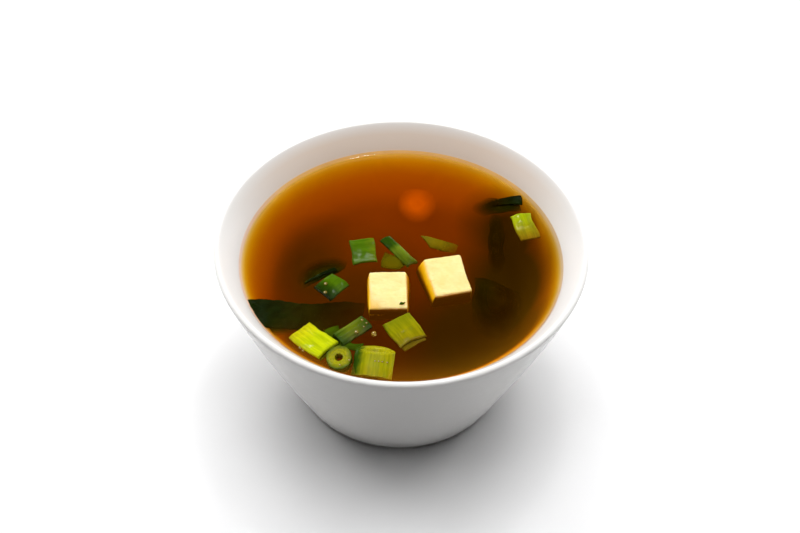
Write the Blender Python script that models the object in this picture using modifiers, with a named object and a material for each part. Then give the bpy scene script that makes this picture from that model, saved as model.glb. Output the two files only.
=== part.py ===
"""Miso soup in a flared porcelain bowl, with tofu, scallion and wakame at its surface.

Metres, +Z up. The bowl's axis is z, and its foot ring stands on z = 0.
"""

import math
from collections import namedtuple

import bmesh
import bpy
from mathutils import Vector, noise

MM = 0.001

# Bowl
RIM_RADIUS = 60.55 * MM
BOWL_HEIGHT = 62.6 * MM
FOOT_RADIUS = 34.8 * MM
WALL_BULGE = 0.165
LIP_THICKNESS = 2.6 * MM
LIP_RISE = 1.1 * MM
LIP_SQUARENESS = 0.75
LIP_LEAN = 0.9
WALL_THICKNESS = 5.9 * MM
THICKENING_DEPTH = 12.0 * MM
FLOOR_LEVEL = 7.5 * MM
FLOOR_FILLET = 18.0 * MM
FOOT_ROUNDING = 0.6 * MM
FOOT_RING_WIDTH = 3.2 * MM
FOOT_RECESS = 1.2 * MM
TURNING_STEPS = 64

# Broth, which keeps a small gap to the wall and to what floats in it
SOUP_LEVEL = 54.3 * MM
MENISCUS_HEIGHT = 0.9 * MM
MENISCUS_WIDTH = 2.2 * MM
WALL_GAP = 0.4 * MM
GAP = 0.3 * MM

NOISE_SEED = 5

# From here on, the pieces' sizes, places and rises over the soup are in millimetres,
# and their turns about x, y and z are in degrees.
Block = namedtuple("Block", "width depth spread_left spread_right place yaw")
Leaf = namedtuple("Leaf", "along across arch place rise turn")
Tube = namedtuple("Tube", "outer hole length slant place rise turn")
Frond = namedtuple("Frond", "along across sink place rise turn")

# Tofu blocks: each stands a little proud, and its sides spread left and right towards its foot
TOFU_HEIGHT = 9.0
TOFU_RISE = 0.6
TOFU_EDGE = 0.6
TOFU_UNEVENNESS = 0.3
TOFU_BLOCKS = {
    "tofu_left": Block(11.9, 15.9, -0.4, 1.4, (-4.1, -13.7), 2),
    "tofu_right": Block(12.0, 16.6, 2.8, 0.2, (15.1, -6.5), 13),
}

# Scallion leaves: short lengths of flattened leaf, measured along and across the fibres
LEAF_THICKNESS = 1.7
SCALLION_LEAVES = {
    "scallion_back": Leaf(8.0, 10.0, 0.5, (-12.5, 3.7), -0.1, (7, 0, 9)),
    "scallion_curl": Leaf(14.8, 3.6, 1.0, (-0.9, 4.3), -0.3, (0, 2, -52)),
    "scallion_wet": Leaf(8.3, 7.7, 0.6, (-22.0, -12.6), 0.2, (0, -6, 45)),
    "scallion_yellow": Leaf(12.6, 8.9, 0.5, (-26.7, -36.0), 0.5, (0, 0, -41)),
    "scallion_olive": Leaf(10.3, 9.8, 0.5, (1.5, -30.8), 0.1, (0, 3, -57)),
    "scallion_right": Leaf(10.6, 7.2, 0.6, (41.0, 16.9), -0.8, (-4, 13, -72)),
}

# Scallion tubes: half axes (across, up) outside and of the hole, and the slant of one cut
TUBE_SIDES = 20
SCALLION_TUBES = {
    "scallion_stalk": Tube((2.8, 2.1), (1.6, 1.0), 11.6, 10, (-14.8, -31.7), 0.3, (0, -4, 40)),
    "scallion_ring": Tube((3.9, 4.0), (1.2, 1.3), 4.6, 0, (-18.3, -43.5), 0.2, (0, -74, -105)),
    "scallion_wide_ring": Tube((6.2, 2.9), (3.1, 1.2), 9.8, 40, (-7.9, -44.7), -0.2, (0, -18, 83)),
}

# Wakame: soft leaves, which sink away from the end that shows
WAKAME_THICKNESS = 0.9
LONG_FROND_WALL_GAP = 0.8
LONG_FROND_END = -11.5
LONG_FROND_SIDES = (-30.6, -18.6)
LONG_FROND_SINK = 2.4
LONG_FROND_ROLL = 1.6
LONG_FROND_RUFFLE = 0.6
FRONDS = {
    "wakame_back": Frond(14.0, 4.6, 6.5, (33.4, 29.2), -0.3, (0, 0, 2)),
    "wakame_fold": Frond(11.6, 1.8, 0.8, (-25.8, -7.6), 0.0, (0, 0, 33)),
}


def outer_radius(z):
    """The outside of the wall flares from the foot to the rim, with a slight bulge."""
    rise = z / BOWL_HEIGHT
    flare = (1 + WALL_BULGE) * rise - WALL_BULGE * rise * rise
    return FOOT_RADIUS + (RIM_RADIUS - FOOT_RADIUS) * flare


def inner_radius(z):
    """The wall thickens below the lip, and then keeps its thickness."""
    depth = min((BOWL_HEIGHT - LIP_RISE - z) / THICKENING_DEPTH, 1)
    thickening = 1 - (1 - depth) ** 2
    return outer_radius(z) - LIP_THICKNESS - (WALL_THICKNESS - LIP_THICKNESS) * thickening


def inner_wall(top, steps):
    """Points (radius, z) out along the floor from the axis, and up the wall to z = top."""
    points = [(0, FLOOR_LEVEL)]
    fillet_steps = 4
    for step in range(fillet_steps):
        angle = math.pi / 2 * step / fillet_steps
        z = FLOOR_LEVEL + FLOOR_FILLET * (1 - math.cos(angle))
        points.append((inner_radius(z) - FLOOR_FILLET * (1 - math.sin(angle)), z))
    low = FLOOR_LEVEL + FLOOR_FILLET
    for step in range(steps + 1):
        z = low + (top - low) * step / steps
        points.append((inner_radius(z), z))
    return points


def lip():
    """Points over the lip: the wall's lean rolls over to the crest, then round a squarer shoulder."""
    base = BOWL_HEIGHT - LIP_RISE
    half = LIP_THICKNESS / 2
    middle = outer_radius(base) - half
    steps = 3
    points = []
    for step in range(1, steps + 1):
        run = step / steps
        out = 2 * run * (1 - run) * LIP_LEAN * LIP_RISE + run * run * half
        points.append((middle - half + out, base + LIP_RISE * (1 - (1 - run) ** 2)))
    for step in range(1, steps + 1):
        angle = math.pi / 2 * (1 - step / steps)
        out = math.cos(angle) ** LIP_SQUARENESS
        rise = max(math.sin(angle), 0) ** LIP_SQUARENESS
        points.append((middle + half * out, base + LIP_RISE * rise))
    return points


def outer_wall():
    """Points down the outside, round the foot ring and along the recess under it."""
    base = BOWL_HEIGHT - LIP_RISE
    steps = 6
    points = []
    for step in range(1, steps + 1):
        z = base + (FOOT_ROUNDING - base) * step / steps
        points.append((outer_radius(z), z))
    ring_outer = FOOT_RADIUS - FOOT_ROUNDING
    ring_inner = ring_outer - FOOT_RING_WIDTH
    points.append((ring_outer, 0))
    points.append((ring_inner, 0))
    points.append((ring_inner - FOOT_RECESS, FOOT_RECESS))
    points.append((0, FOOT_RECESS))
    return points


def broth_profile():
    """Points over the surface from the axis, up the meniscus, down beside the wall and back to the axis."""
    edge = inner_radius(SOUP_LEVEL + MENISCUS_HEIGHT) - WALL_GAP
    points = [(0, SOUP_LEVEL)]
    steps = 3
    for step in range(steps + 1):
        run = step / steps
        points.append((edge - MENISCUS_WIDTH * (1 - run), SOUP_LEVEL + MENISCUS_HEIGHT * run * run))
    for radius, z in reversed(inner_wall(SOUP_LEVEL, 3)[1:]):
        points.append((radius - WALL_GAP, z + GAP))
    points.append((0, FLOOR_LEVEL + GAP))
    return points


def make_collection(name):
    collection = bpy.data.collections.new(name)
    bpy.context.scene.collection.children.link(collection)
    return collection


def make_material(name, colour, roughness):
    material = bpy.data.materials.new(name)
    material.use_nodes = True
    shader = material.node_tree.nodes["Principled BSDF"]
    shader.inputs["Base Color"].default_value = (*colour, 1)
    shader.inputs["Roughness"].default_value = roughness
    shader.inputs["Metallic"].default_value = 0
    material.diffuse_color = (*colour, 1)
    return material


def add_object(name, mesh, material, collection):
    """Turns a bmesh into an object, smooth except at its sharp edges."""
    data = bpy.data.meshes.new(name)
    mesh.to_mesh(data)
    mesh.free()
    data.materials.append(material)
    data.shade_smooth()
    data.set_sharp_from_angle(angle=math.radians(35))
    obj = bpy.data.objects.new(name, data)
    collection.objects.link(obj)
    return obj


def turned(name, profile, material, collection):
    """A solid of revolution about z, from a profile that starts and ends on the axis."""
    mesh = bmesh.new()
    verts = [mesh.verts.new((radius, 0, z)) for radius, z in profile]
    for first, second in zip(verts, verts[1:]):
        mesh.edges.new((first, second))
    obj = add_object(name, mesh, material, collection)
    screw = obj.modifiers.new("turn", "SCREW")
    screw.steps = TURNING_STEPS
    screw.render_steps = TURNING_STEPS
    screw.use_merge_vertices = True
    screw.merge_threshold = 0.00001
    screw.use_smooth_shade = True
    return obj


def set_afloat(obj, place, rise, turn):
    """Places a piece over the soup's surface, and turns it."""
    obj.location = (place[0] * MM, place[1] * MM, SOUP_LEVEL + rise * MM)
    obj.rotation_euler = [math.radians(angle) for angle in turn]
    return obj


def uneven(point, size, amount):
    """A smooth wobble that is different at every place, for a hand-cut face."""
    return noise.noise_vector(point / size) * amount


def tofu_block(name, block, material, collection):
    """A hand-cut block with uneven faces and spreading sides, its top at its origin."""
    mesh = bmesh.new()
    bmesh.ops.create_cube(mesh, size=1)
    bmesh.ops.subdivide_edges(mesh, edges=mesh.edges[:], cuts=3, use_grid_fill=True)
    start = Vector((*block.place, 0))
    for vert in mesh.verts:
        side, forward, up = vert.co
        spread = block.spread_left if side < 0 else block.spread_right
        spread *= (0.65 + 0.7 * forward) * math.sin(math.pi / 2 * (0.5 - up))
        width = block.width + 2 * spread
        point = Vector((side * width, forward * block.depth, (up - 0.5) * TOFU_HEIGHT))
        vert.co = (point + uneven(point + start, 6, TOFU_UNEVENNESS)) * MM
    obj = add_object(name, mesh, material, collection)
    return set_afloat(obj, block.place, TOFU_RISE, (0, 0, block.yaw))


def soften(obj):
    """Rounds the edges of a tofu block."""
    bevel = obj.modifiers.new("soft edges", "BEVEL")
    bevel.width = TOFU_EDGE * MM
    bevel.segments = 2
    bevel.limit_method = "ANGLE"
    bevel.angle_limit = math.radians(50)


def sheet(name, steps, shape, thickness, material, collection):
    """A sheet of one thickness. Shape takes (along, across), each -0.5 to 0.5, to a point in mm."""
    mesh = bmesh.new()
    bmesh.ops.create_grid(mesh, x_segments=steps[0], y_segments=steps[1], size=0.5)
    for vert in mesh.verts:
        vert.co = Vector(shape(vert.co.x, vert.co.y)) * MM
    obj = add_object(name, mesh, material, collection)
    solid = obj.modifiers.new("thickness", "SOLIDIFY")
    solid.thickness = thickness * MM
    solid.offset = 0
    return obj


def scallion_leaf(name, leaf, material, collection):
    """A length of flattened leaf, crowned across its fibres and unevenly cut."""
    start = Vector((*leaf.place, 0))

    def shape(along, across):
        crown = leaf.arch * (0.5 - 4 * across * across)
        point = Vector((along * leaf.along, across * leaf.across, crown))
        return point + uneven(point + start, 5, 0.5)

    obj = sheet(name, (4, 5), shape, LEAF_THICKNESS, material, collection)
    return set_afloat(obj, leaf.place, leaf.rise, leaf.turn)


def scallion_tube(name, tube, material, collection, hollow=True):
    """A short tube along x, oval in section, with its far end cut on the slant."""
    mesh = bmesh.new()
    slope = math.tan(math.radians(tube.slant))
    sections = [tube.outer, tube.hole] if hollow else [tube.outer]
    rings = []
    for across, up in sections:
        for end in (-0.5, 0.5):
            ring = []
            for side in range(TUBE_SIDES):
                angle = 2 * math.pi * side / TUBE_SIDES
                y = across * math.cos(angle)
                z = up * math.sin(angle)
                lean = -z * slope if end > 0 else 0
                ring.append(mesh.verts.new(Vector((end * tube.length + lean, y, z)) * MM))
            rings.append(ring)
    near, far = rings[:2]
    for side in range(TUBE_SIDES):
        after = (side + 1) % TUBE_SIDES
        mesh.faces.new((near[side], far[side], far[after], near[after]))
        if hollow:
            hole_near, hole_far = rings[2:]
            mesh.faces.new((hole_near[after], hole_far[after], hole_far[side], hole_near[side]))
            mesh.faces.new((near[after], hole_near[after], hole_near[side], near[side]))
            mesh.faces.new((far[side], hole_far[side], hole_far[after], far[after]))
    if not hollow:
        mesh.faces.new(near[::-1])
        mesh.faces.new(far)
    bmesh.ops.recalc_face_normals(mesh, faces=mesh.faces[:])
    obj = add_object(name, mesh, material, collection)
    return set_afloat(obj, tube.place, tube.rise, tube.turn)


def long_frond(name, material, collection):
    """A long leaf that starts against the wall at the surface and sinks towards the middle."""
    wall = inner_radius(SOUP_LEVEL) / MM - LONG_FROND_WALL_GAP
    low, high = LONG_FROND_SIDES

    def shape(along, across):
        run = along + 0.5
        y = low + (high - low) * (across + 0.5) + 0.5 * math.sin(9 * run)
        x = -math.sqrt(wall * wall - y * y) * (1 - run) + LONG_FROND_END * run
        ripple = LONG_FROND_RUFFLE * math.sin(7 * run + 4 * across) * run
        roll = LONG_FROND_ROLL * (0.5 - across) * run
        return (x, y, ripple - LONG_FROND_SINK * run - roll)

    obj = sheet(name, (12, 4), shape, WAKAME_THICKNESS, material, collection)
    return set_afloat(obj, (0, 0), 0.3, (0, 0, 0))


def sinking_frond(name, frond, material, collection):
    """A narrow leaf with its broad end at the surface, which tapers as it sinks."""

    def shape(along, across):
        run = 0.5 - along
        taper = 1 - 0.6 * run
        curve = 0.4 * math.sin(math.pi * run)
        return (along * frond.along, across * frond.across * taper + curve, -frond.sink * run * run)

    obj = sheet(name, (8, 2), shape, WAKAME_THICKNESS, material, collection)
    return set_afloat(obj, frond.place, frond.rise, frond.turn)


def cutter_around(obj, distance, collection):
    """A copy of a piece as a cutter, grown all round by a distance."""
    mesh = bmesh.new()
    mesh.from_object(obj, bpy.context.evaluated_depsgraph_get())
    mesh.normal_update()
    grown = [vert.co + vert.normal * vert.calc_shell_factor() * distance for vert in mesh.verts]
    for vert, point in zip(mesh.verts, grown):
        vert.co = point
    cutter = add_object(obj.name + "_pocket", mesh, obj.data.materials[0], collection)
    cutter.matrix_world = obj.matrix_world
    cutter.hide_render = True
    cutter.display_type = "WIRE"
    return cutter


def cut_pocket(broth, cutter):
    cut = broth.modifiers.new(cutter.name, "BOOLEAN")
    cut.operation = "DIFFERENCE"
    cut.solver = "MANIFOLD"
    cut.object = cutter


def main():
    for obj in list(bpy.data.objects):
        bpy.data.objects.remove(obj, do_unlink=True)
    noise.seed_set(NOISE_SEED)
    soup = make_collection("miso_soup")
    cutters = make_collection("cutters")
    cutters.hide_render = True

    porcelain = make_material("porcelain", (0.86, 0.85, 0.82), 0.15)
    liquid = make_material("broth", (0.36, 0.13, 0.02), 0.1)
    tofu = make_material("tofu", (0.92, 0.78, 0.5), 0.45)
    scallion = make_material("scallion", (0.36, 0.5, 0.03), 0.3)
    wakame = make_material("wakame", (0.03, 0.06, 0.02), 0.25)

    turned("bowl", inner_wall(BOWL_HEIGHT - LIP_RISE, 6) + lip() + outer_wall(), porcelain, soup)
    broth = turned("broth", broth_profile(), liquid, soup)

    blocks = [tofu_block(name, block, tofu, soup) for name, block in TOFU_BLOCKS.items()]
    afloat = [scallion_leaf(name, leaf, scallion, soup) for name, leaf in SCALLION_LEAVES.items()]
    afloat += [sinking_frond(name, frond, wakame, soup) for name, frond in FRONDS.items()]
    afloat.append(long_frond("wakame_left", wakame, soup))
    fillings = []
    for name, tube in SCALLION_TUBES.items():
        scallion_tube(name, tube, scallion, soup)
        fillings.append(scallion_tube(name + "_filled", tube, scallion, cutters, hollow=False))

    bpy.context.view_layer.update()
    for piece in blocks + afloat + fillings:
        cut_pocket(broth, cutter_around(piece, GAP, cutters))
    for filling in fillings:
        bpy.data.objects.remove(filling, do_unlink=True)
    for block in blocks:
        soften(block)


main()
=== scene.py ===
"""Looks for the bowl of miso soup: porcelain, clear broth, tofu, scallion and wakame."""

import math
from collections import namedtuple

import bmesh
import bpy
from mathutils import Euler, Matrix, Vector, noise
from mathutils.bvhtree import BVHTree


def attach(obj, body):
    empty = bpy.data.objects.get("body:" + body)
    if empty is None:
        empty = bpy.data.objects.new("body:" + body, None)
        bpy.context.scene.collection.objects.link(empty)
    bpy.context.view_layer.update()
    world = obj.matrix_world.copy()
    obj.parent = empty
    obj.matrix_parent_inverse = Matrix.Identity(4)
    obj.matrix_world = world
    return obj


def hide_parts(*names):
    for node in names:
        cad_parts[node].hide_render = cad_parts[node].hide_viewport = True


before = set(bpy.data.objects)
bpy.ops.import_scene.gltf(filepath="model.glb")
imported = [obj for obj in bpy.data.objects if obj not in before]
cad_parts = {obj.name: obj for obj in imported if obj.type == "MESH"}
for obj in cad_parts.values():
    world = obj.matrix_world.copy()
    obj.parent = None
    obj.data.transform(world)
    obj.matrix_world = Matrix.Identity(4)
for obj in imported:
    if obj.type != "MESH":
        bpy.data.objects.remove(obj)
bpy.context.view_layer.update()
NOISE_SEED = 5
noise.seed_set(NOISE_SEED)

MM = 0.001
SOUP = 54.3  # the soup's level, mm over the table

# -------- bowl and broth, mm
RIM_RADIUS, BOWL_HEIGHT, FOOT_RADIUS, WALL_BULGE = 60.55, 62.6, 34.8, 0.165
LIP_THICKNESS, LIP_RISE, LIP_SQUARENESS, LIP_LEAN = 2.6, 1.1, 0.75, 0.9
WALL_THICKNESS, THICKENING_DEPTH = 5.9, 12.0
FLOOR_LEVEL, FLOOR_FILLET, FLOOR_FILLET_STEPS = 7.5, 18.0, 14
FOOT_ROUNDING, FOOT_RING_WIDTH, FOOT_RECESS = 0.6, 3.2, 1.2
LIP_STEPS, WALL_STEPS, INNER_STEPS = 9, 30, 26

MENISCUS_HEIGHT, MENISCUS_WIDTH, MENISCUS_STEPS = 0.9, 2.5, 12
BROTH_IN_WALL, BROTH_RINGS, BROTH_SIDES = 0.3, 149, 400
# The lining lies just inside the wall, up to a little over the soup's level
LINING_GAP, LINING_LIFT, LINING_TOP, LINING_SIDES = 0.15, 0.05, SOUP + 0.75, 160


def outer_radius(z):
    rise = z / BOWL_HEIGHT
    flare = (1 + WALL_BULGE) * rise - WALL_BULGE * rise * rise
    return FOOT_RADIUS + (RIM_RADIUS - FOOT_RADIUS) * flare


def inner_radius(z):
    depth = min((BOWL_HEIGHT - LIP_RISE - z) / THICKENING_DEPTH, 1)
    thickening = 1 - (1 - depth) ** 2
    return outer_radius(z) - LIP_THICKNESS - (WALL_THICKNESS - LIP_THICKNESS) * thickening


def inner_wall(top, steps):
    """Points (radius, z) round the fillet at the floor and up the wall to z = top."""
    points = []
    for i in range(FLOOR_FILLET_STEPS):
        angle = math.pi / 2 * i / FLOOR_FILLET_STEPS
        z = FLOOR_LEVEL + FLOOR_FILLET * (1 - math.cos(angle))
        points.append((inner_radius(z) - FLOOR_FILLET * (1 - math.sin(angle)), z))
    low = FLOOR_LEVEL + FLOOR_FILLET
    for i in range(steps + 1):
        z = low + (top - low) * i / steps
        points.append((inner_radius(z), z))
    return points


def lip():
    """Points over the lip: the wall's lean rolls over to the crest, then round a squarer shoulder."""
    base = BOWL_HEIGHT - LIP_RISE
    half = LIP_THICKNESS / 2
    middle = outer_radius(base) - half
    points = []
    for i in range(1, LIP_STEPS + 1):
        run = i / LIP_STEPS
        out = 2 * run * (1 - run) * LIP_LEAN * LIP_RISE + run * run * half
        points.append((middle - half + out, base + LIP_RISE * (1 - (1 - run) ** 2)))
    for i in range(1, LIP_STEPS + 1):
        angle = math.pi / 2 * (1 - i / LIP_STEPS)
        rise = max(math.sin(angle), 0) ** LIP_SQUARENESS
        points.append((middle + half * math.cos(angle) ** LIP_SQUARENESS, base + LIP_RISE * rise))
    return points


def bowl_profile():
    """Points from the axis over the floor, the inner wall, the lip, the outer wall and the foot."""
    base = BOWL_HEIGHT - LIP_RISE
    points = [(0, FLOOR_LEVEL)] + inner_wall(base, INNER_STEPS) + lip()
    for i in range(1, WALL_STEPS + 1):
        z = base + (FOOT_ROUNDING - base) * i / WALL_STEPS
        points.append((outer_radius(z), z))
    ring = FOOT_RADIUS - FOOT_ROUNDING
    recess = ring - FOOT_RING_WIDTH - FOOT_RECESS
    points += [(ring + 0.35, 0.2), (ring, 0), (ring - FOOT_RING_WIDTH, 0)]
    return points + [(recess, FOOT_RECESS), (0, FOOT_RECESS)]


def broth_profile():
    """Points over the surface, up the meniscus, then down just inside the wall's face and back."""
    edge = inner_radius(SOUP + MENISCUS_HEIGHT) + BROTH_IN_WALL
    points = [(0, SOUP)]
    for i in range(1, BROTH_RINGS + 1):
        points.append((i * (edge - MENISCUS_WIDTH) / BROTH_RINGS, SOUP))
    for i in range(1, MENISCUS_STEPS + 1):
        run = i / MENISCUS_STEPS
        points.append((edge - MENISCUS_WIDTH * (1 - run), SOUP + MENISCUS_HEIGHT * run * run))
    for radius, z in reversed(inner_wall(SOUP, 20)):
        points.append((radius + BROTH_IN_WALL, z - BROTH_IN_WALL))
    points.append((0, FLOOR_LEVEL - BROTH_IN_WALL))
    return points


def lining_profile():
    """Points over the floor and up the wall, a hair inside them."""
    points = [(0, FLOOR_LEVEL + LINING_GAP)]
    for radius, z in inner_wall(LINING_TOP, INNER_STEPS):
        points.append((radius - LINING_GAP, z + LINING_LIFT))
    return points


# -------- making meshes
def new_object(name, verts, faces):
    """A smooth object from points in mm and faces."""
    mesh = bpy.data.meshes.new(name)
    mesh.from_pydata([tuple(c * MM for c in v) for v in verts], [], faces)
    bm = bmesh.new()
    bm.from_mesh(mesh)
    bmesh.ops.recalc_face_normals(bm, faces=bm.faces[:])
    bm.to_mesh(mesh)
    bm.free()
    mesh.shade_smooth()
    obj = bpy.data.objects.new(name, mesh)
    bpy.context.scene.collection.objects.link(obj)
    return obj


def turned(name, profile, steps=256):
    """A solid of revolution about z, from a profile whose ends may lie on the axis."""
    verts, rings = [], []
    for radius, z in profile:
        if radius < 1e-6:
            rings.append([len(verts)] * steps)
            verts.append((0, 0, z))
            continue
        ring = []
        for i in range(steps):
            angle = 2 * math.pi * i / steps
            ring.append(len(verts))
            verts.append((radius * math.cos(angle), radius * math.sin(angle), z))
        rings.append(ring)
    faces = []
    for low, high in zip(rings, rings[1:]):
        for i in range(steps):
            j = (i + 1) % steps
            loop = []
            for v in (low[i], low[j], high[j], high[i]):
                if v not in loop:
                    loop.append(v)
            if len(loop) > 2:
                faces.append(tuple(loop))
    return new_object(name, verts, faces)


def flat_card(name, west, south, east, north, z):
    """A rectangle that lies level at z."""
    corners = [(west, south, z), (east, south, z), (east, north, z), (west, north, z)]
    return new_object(name, corners, [(0, 1, 2, 3)])


def dress(obj, material, slot, *nodes):
    """Gives a piece its material, and makes it ride and stand for its CAD nodes. The slot is not used."""
    obj.data.materials.clear()
    obj.data.materials.append(material)
    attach(obj, "root")
    if nodes:
        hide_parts(*nodes)
    return obj


# -------- toppings, mm and degrees
Block = namedtuple("Block", "width depth spread_left spread_right place yaw worn_corner")
Leaf = namedtuple("Leaf", "along across arch place rise turn")
Tube = namedtuple("Tube", "outer hole length slant place rise turn")
Frond = namedtuple("Frond", "along across sink place rise turn")

TOFU_HEIGHT, TOFU_RISE, TOFU_EDGE, TOFU_CUTS = 9.0, 0.6, 0.6, 47
TOFU_BLOCKS = {
    "tofu_left": Block(11.9, 15.9, -0.4, 1.4, (-4.1, -13.7), 2, 1.1),
    "tofu_right": Block(12.0, 16.6, 2.8, 0.2, (15.1, -6.5), 13, 0.0),
}
LEAF_THICKNESS, UNDER_LAYER_THICKNESS = 1.7, 0.8
LEAVES = {
    "scallion_back": Leaf(8.0, 10.0, 0.5, (-12.5, 3.7), -0.1, (7, 0, 9)),
    "scallion_curl": Leaf(14.8, 3.6, 1.0, (-0.9, 4.3), -0.3, (0, 2, -52)),
    "scallion_wet": Leaf(8.3, 7.7, 0.6, (-22.0, -12.6), 0.2, (0, -6, 45)),
    "scallion_yellow": Leaf(12.6, 8.9, 0.5, (-26.7, -36.0), 0.5, (0, 0, -41)),
    "scallion_olive": Leaf(10.3, 9.8, 0.5, (1.5, -30.8), 0.1, (0, 3, -57)),
    "scallion_right": Leaf(10.6, 7.2, 0.6, (41.0, 16.9), -0.8, (-4, 13, -72)),
}
OLIVE_UNDER = Leaf(4.6, 8.6, 0.3, (3.7, -34.3), -1.2, (0, 2, -57))
TUBES = {
    "scallion_stalk": Tube((2.8, 2.1), (1.6, 1.0), 11.6, 10, (-14.8, -31.7), 0.3, (0, -4, 40)),
    "scallion_ring": Tube((3.9, 4.0), (1.2, 1.3), 4.6, 0, (-18.3, -43.5), 0.2, (0, -74, -105)),
    "scallion_wide_ring": Tube((6.2, 2.9), (3.1, 1.2), 9.8, 40, (-7.9, -44.7), -0.2, (0, -18, 83)),
}
TUBE_SIDES, CUT_ROUNDING, CUT_GROOVE = 96, 0.28, 0.10
WAKAME_THICKNESS = 0.9
LONG_FROND_IN_WALL, LONG_FROND_END, LONG_FROND_SIDES = 0.3, -11.5, (-30.6, -18.6)
LONG_FROND_RISE, LONG_FROND_SINK, LONG_FROND_ROLL, LONG_FROND_RUFFLE = -0.4, 1.8, 1.2, 0.5
FRONDS = {
    "wakame_back": Frond(14.0, 4.6, 6.5, (33.4, 29.2), -0.3, (0, 0, 2)),
    "wakame_fold": Frond(11.6, 1.8, 0.8, (-25.8, -7.6), 0.0, (0, 0, 33)),
}

# Unevenness: the size of the lumps and how far they move a face
TOFU_LUMPS = ((6, 0.3), (1.3, 0.07), (0.5, 0.025))
LEAF_LUMPS = ((5, 0.5), (1.7, 0.12))
TUBE_LUMPS = ((2.6, 0.18),)
LONG_FROND_LUMPS = ((2.2, 0.35), (0.9, 0.12))
FROND_LUMPS = ((1.8, 0.22),)

# Sunk leaves: four corners (x, y, mm under the surface), two tones, how much of the broth's murk
# lies over them, the middle and the reach of what shows of them, their lumps and their arch
Sunk = namedtuple("Sunk", "corners tones murk middle reach lumps arch")
WEED_TONES = ((0.006, 0.014, 0.001), (0.02, 0.03, 0.002))
GREEN_TONES = ((0.012, 0.035, 0.002), (0.04, 0.09, 0.003))
OLIVE_TONES = ((0.11, 0.115, 0.006), (0.16, 0.15, 0.008))
BROWN_TONES = ((0.12, 0.10, 0.005), (0.20, 0.15, 0.006))
SUNK_THICKNESS, SUNK_LUMPS = 0.85, (4, 0.6)
SUNK_LEAVES = {
    "scallion_sunk_left": Sunk(
        [(-6.8, -2.0, 2.0), (-5.4, 4.6, 1.2), (3.2, -0.6, 1.6), (-0.6, -3.0, 2.2)],
        OLIVE_TONES, 1.0, (-2.5, 0.0, 52.5), (8, 6, 6), SUNK_LUMPS, 0.0),
    "scallion_sunk_right": Sunk(
        [(9.0, 7.0, 1.5), (6.4, 11.9, 0.5), (18.6, 8.4, 1.6), (18.2, 4.2, 2.2)],
        BROWN_TONES, 1.0, (10.5, 9.0, 53.2), (10, 7, 6), SUNK_LUMPS, 0.3),
    "wakame_sunk_left": Sunk(
        [(-38.0, 6.0, 12.0), (-33.0, -13.4, 1.3), (-18.0, -3.6, 1.0), (-15.0, 15.0, 12.0)],
        WEED_TONES, 0.4, (-25.0, -4.5, 51.0), (9, 12, 10), SUNK_LUMPS, 0.0),
    "wakame_sunk_right": Sunk(
        [(22.5, -33.0, 9.0), (23.5, -5.0, 3.0), (43.0, -8.0, 13.0), (38.0, -27.0, 13.0)],
        WEED_TONES, 0.5, (30.5, -13.0, 48.0), (9.5, 17, 14), (9, 2.0), 1.0),
    "wakame_sunk_edge": Sunk(
        [(-45.0, -23.0, 2.2), (-39.0, -33.5, 0.9), (-30.0, -32.0, 1.2), (-30.0, -24.0, 2.2)],
        WEED_TONES, 0.2, (-40.0, -27.5, 53.0), (10, 6, 6), (4, 0.4), 0.0),
    "wakame_sunk_back": Sunk(
        [(28.0, -1.0, 9.0), (29.5, 25.0, 5.0), (35.0, 25.0, 5.0), (33.5, -1.0, 9.0)],
        WEED_TONES, 0.5, (31.5, 13.0, 47.5), (3.6, 14, 12), (5, 0.8), 0.0),
    "wakame_sunk_far": Sunk(
        [(23.0, 24.0, 6.0), (23.0, 34.0, 6.0), (39.5, 31.0, 1.5), (39.5, 25.5, 1.5)],
        WEED_TONES, 0.6, (34.0, 28.5, 51.0), (11, 5.5, 8), (5, 0.6), 0.0),
}
# Green leaves just under the cut pieces, by their corners
UNDER_LEAVES = {
    "scallion_under_middle": [
        (-24.0, -30.5, 1.3), (-19.5, -28.3, 1.5), (-14.5, -36.5, 1.1), (-20.0, -40.0, 0.9)],
    "scallion_under_left": [
        (-24.6, -43.2, 1.2), (-25.0, -41.4, 0.8), (-19.2, -36.4, 0.7), (-18.0, -37.6, 1.1)],
    "scallion_under_back": [
        (-19.4, -39.0, 1.0), (-19.2, -36.4, 0.7), (-11.2, -36.2, 0.7), (-11.6, -38.8, 1.0)],
}
# A fleck of weed on the left tofu, and a block of tofu well under the surface
FLECK = [(-0.4, -20.3, -0.85), (0.0, -19.3, -0.85), (1.5, -19.4, -0.85), (1.2, -20.2, -0.85)]
FLECK_THICKNESS, FLECK_LUMPS = 0.5, (0.8, 0.25)
DEEP_TOFU = [(-3.0, 25.5, 14.0), (-2.0, 42.5, 14.0), (13.0, 42.5, 14.0), (12.0, 25.5, 14.0)]
DEEP_TOFU_THICKNESS, DEEP_TOFU_LUMPS, DEEP_TOFU_REACH = 6.0, (6, 0.5), (7.0, 9.0, 6)

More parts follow.
